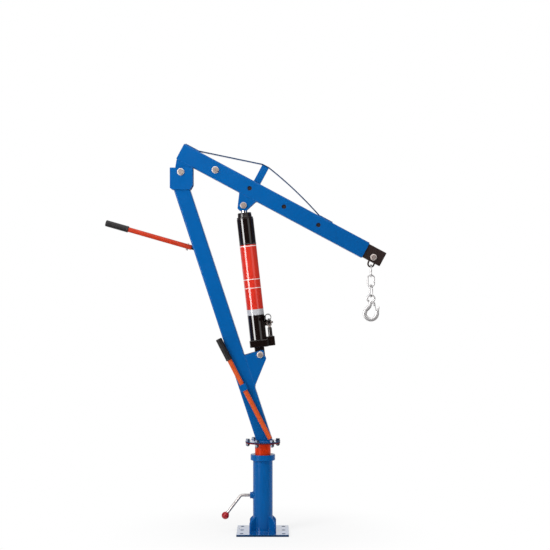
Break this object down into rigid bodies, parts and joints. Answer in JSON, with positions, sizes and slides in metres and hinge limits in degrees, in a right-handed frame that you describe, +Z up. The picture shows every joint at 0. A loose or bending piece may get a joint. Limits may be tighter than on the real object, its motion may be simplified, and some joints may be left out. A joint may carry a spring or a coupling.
{
  "type": "hydraulic swivel jib crane",
  "caption": "Floor-mounted swivel jib crane: bolted post, leaning mast, boom raised by a hand-pumped ram, sliding extension with a short chain and safety hook.",
  "frame": {"origin": "centre of the base plate's underside, on the post's axis", "axes": "+Z up along the post, +X towards the hook in the pictured position, +Y away from the side with the stowed handle"},
  "size_m": [1.088, 0.2, 1.5013],
  "materials": {
    "blue_paint": "gloss enamel",
    "orange_paint": "gloss enamel",
    "black_paint": "gloss enamel",
    "rubber_grip": "matte",
    "zinc": "bright zinc plate",
    "chain_steel": "galvanised",
    "chrome_rod": "hard chrome",
    "red_ball": "gloss"
  },
  "bodies": {
    "base": {"base_plate": "blue_paint", "post_tube": "blue_paint", "post_collar": "blue_paint", "post_gussets": "blue_paint", "lock_nut": "blue_paint"},
    "lock_lever": {"lock_lever_rod": "zinc", "lock_lever_ball": "red_ball"},
    "mast": {"spigot": "orange_paint", "spigot_flange": "orange_paint", "mast_foot_plate": "blue_paint", "flange_bolts": "zinc", "mast_tube": "blue_paint", "mast_cheeks": "blue_paint", "ram_bracket": "blue_paint", "boom_pivot_bolt": "zinc", "ram_lower_bolt": "zinc", "push_handle_socket": "black_paint", "push_handle_tube": "orange_paint", "push_handle_grip": "rubber_grip", "push_handle_pin": "zinc", "stowage_loop": "blue_paint"},
    "stowed_handle": {"stowed_handle_tube": "orange_paint", "stowed_handle_grip": "rubber_grip"},
    "boom": {"boom_tube": "blue_paint", "boom_pivot_lugs": "blue_paint", "boom_ram_lugs": "blue_paint", "boom_strut": "blue_paint", "tension_strap": "blue_paint", "boom_lock_bolt": "zinc", "ram_upper_bolt": "zinc"},
    "extension": {"extension_tube": "black_paint", "chain_bolt": "zinc", "hanger_link": "chain_steel"},
    "chain_upper": {"chain_link_upper": "chain_steel"},
    "chain_middle": {"chain_link_middle": "chain_steel"},
    "chain_lower": {"chain_link_lower": "chain_steel"},
    "hook": {"load_hook": "chain_steel"},
    "latch": {"hook_latch": "chain_steel"},
    "ram_cylinder": {"ram_base": "black_paint", "ram_barrel": "black_paint", "ram_head_nut": "black_paint", "pump_bracket": "black_paint"},
    "ram_piston": {"ram_rod": "chrome_rod"},
    "pump_piston": {"pump_plunger": "zinc"},
    "pump_handle_socket": {"pump_rocker": "black_paint"}
  },
  "joints": [
    {"name": "mast_swivel", "type": "hinge", "parent": "base", "child": "mast", "pos_m": [0, 0, 0.301], "axis": [0, 0, 1], "continuous": true},
    {"name": "lock_lever_turn", "type": "hinge", "parent": "base", "child": "lock_lever", "pos_m": [-0.05, 0, 0.1426], "axis": [1, 0, 0], "range_deg": [-90, 90]},
    {"name": "boom_lift", "type": "hinge", "parent": "mast", "child": "boom", "pos_m": [-0.3154, 0, 1.39051], "axis": [0, -1, 0], "range_deg": [0, 73.3]},
    {"name": "boom_extend", "type": "slide", "parent": "boom", "child": "extension", "axis": [0.8821, 0, -0.471], "range_m": [0, 0.45]},
    {"name": "chain_plumb", "type": "hinge", "parent": "extension", "child": "chain_upper", "pos_m": [0.41795, 0, 1.0369], "axis": [0, -1, 0], "range_deg": [-73.4, 0]},
    {"name": "chain_middle_swing", "type": "hinge", "parent": "chain_upper", "child": "chain_middle", "pos_m": [0.41795, 0, 0.9872], "axis": [0, -1, 0], "range_deg": [-40, 40]},
    {"name": "chain_lower_swing", "type": "hinge", "parent": "chain_middle", "child": "chain_lower", "pos_m": [0.41795, 0, 0.9485], "axis": [1, 0, 0], "range_deg": [-40, 40]},
    {"name": "hook_swing", "type": "hinge", "parent": "chain_lower", "child": "hook", "pos_m": [0.41795, 0, 0.9098], "axis": [-0.4384, -0.8988, 0], "range_deg": [-40, 40]},
    {"name": "latch_open", "type": "hinge", "parent": "hook", "child": "latch", "pos_m": [0.42945, 0, 0.8856], "axis": [0, 1, 0], "range_deg": [0, 20], "stiffness_Nm_per_rad": 0.05, "springref_deg": -20.05},
    {"name": "ram_swing", "type": "hinge", "parent": "mast", "child": "ram_cylinder", "pos_m": [-0.0104, 0, 0.6872], "axis": [0, -1, 0], "range_deg": [0, 0.835]},
    {"name": "ram_stroke", "type": "slide", "parent": "ram_cylinder", "child": "ram_piston", "axis": [-0.111, 0, 0.9938], "range_m": [0, 0.3268]},
    {"name": "pump_stroke", "type": "hinge", "parent": "ram_cylinder", "child": "pump_handle_socket", "pos_m": [0.02421, 0.028, 0.8098], "axis": [-0.9938, 0, -0.111], "range_deg": [-10, 15]},
    {"name": "pump_plunge", "type": "slide", "parent": "ram_cylinder", "child": "pump_piston", "axis": [-0.111, 0, 0.9938], "range_m": [-0.006, 0.009]},
    {"name": "stowed_handle_lift", "type": "slide", "parent": "mast", "child": "stowed_handle", "axis": [-0.4587, 0, 0.8886], "range_m": [0, 0.235]}
  ],
  "couplings": [
    {"joint": "ram_swing", "follows": "boom_lift", "ratio": 0.010713},
    {"joint": "ram_stroke", "follows": "boom_lift", "m_per_rad": 0.25464},
    {"joint": "chain_plumb", "follows": "boom_lift", "ratio": -1},
    {"joint": "pump_plunge", "follows": "pump_stroke", "m_per_rad": 0.028504}
  ]
}
